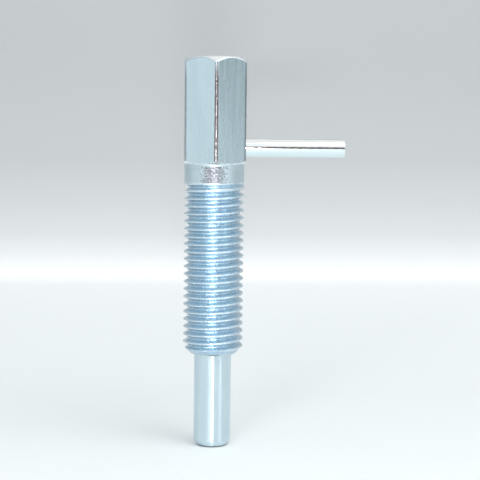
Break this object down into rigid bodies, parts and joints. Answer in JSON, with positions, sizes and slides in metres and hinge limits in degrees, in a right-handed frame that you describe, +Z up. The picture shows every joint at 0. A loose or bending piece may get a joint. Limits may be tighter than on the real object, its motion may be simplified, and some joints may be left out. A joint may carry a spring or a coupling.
{
  "type": "indexing plunger",
  "caption": "Threaded indexing plunger with a hexagon head and a round lever that lifts a spring-loaded locating pin.",
  "frame": {"origin": "middle of the flat end face of the pin, the lowest point of the part as it stands", "axes": "+Z up the common axis from the pin's end to the head, +X out along the lever"},
  "size_m": [0.0423, 0.0184, 0.103],
  "materials": {
    "body_zinc": "bright blue zinc plate, turned",
    "pin_zinc": "bright blue zinc plate, ground",
    "lever_zinc": "bright blue zinc plate, drawn bar",
    "seat_steel": "turned",
    "spring_steel": "drawn wire"
  },
  "bodies": {
    "sleeve": {"sleeve": "body_zinc", "spring_seat": "seat_steel", "return_spring": "spring_steel"},
    "plunger": {"plunger": "pin_zinc", "lever": "lever_zinc"}
  },
  "joints": [
    {"name": "plunger_lift", "type": "slide", "parent": "sleeve", "child": "plunger", "axis": [0, 0, 1], "range_m": [0, 0.026], "stiffness_N_per_m": 1980, "springref_m": -0.005, "deforming": ["return_spring"]}
  ]
}
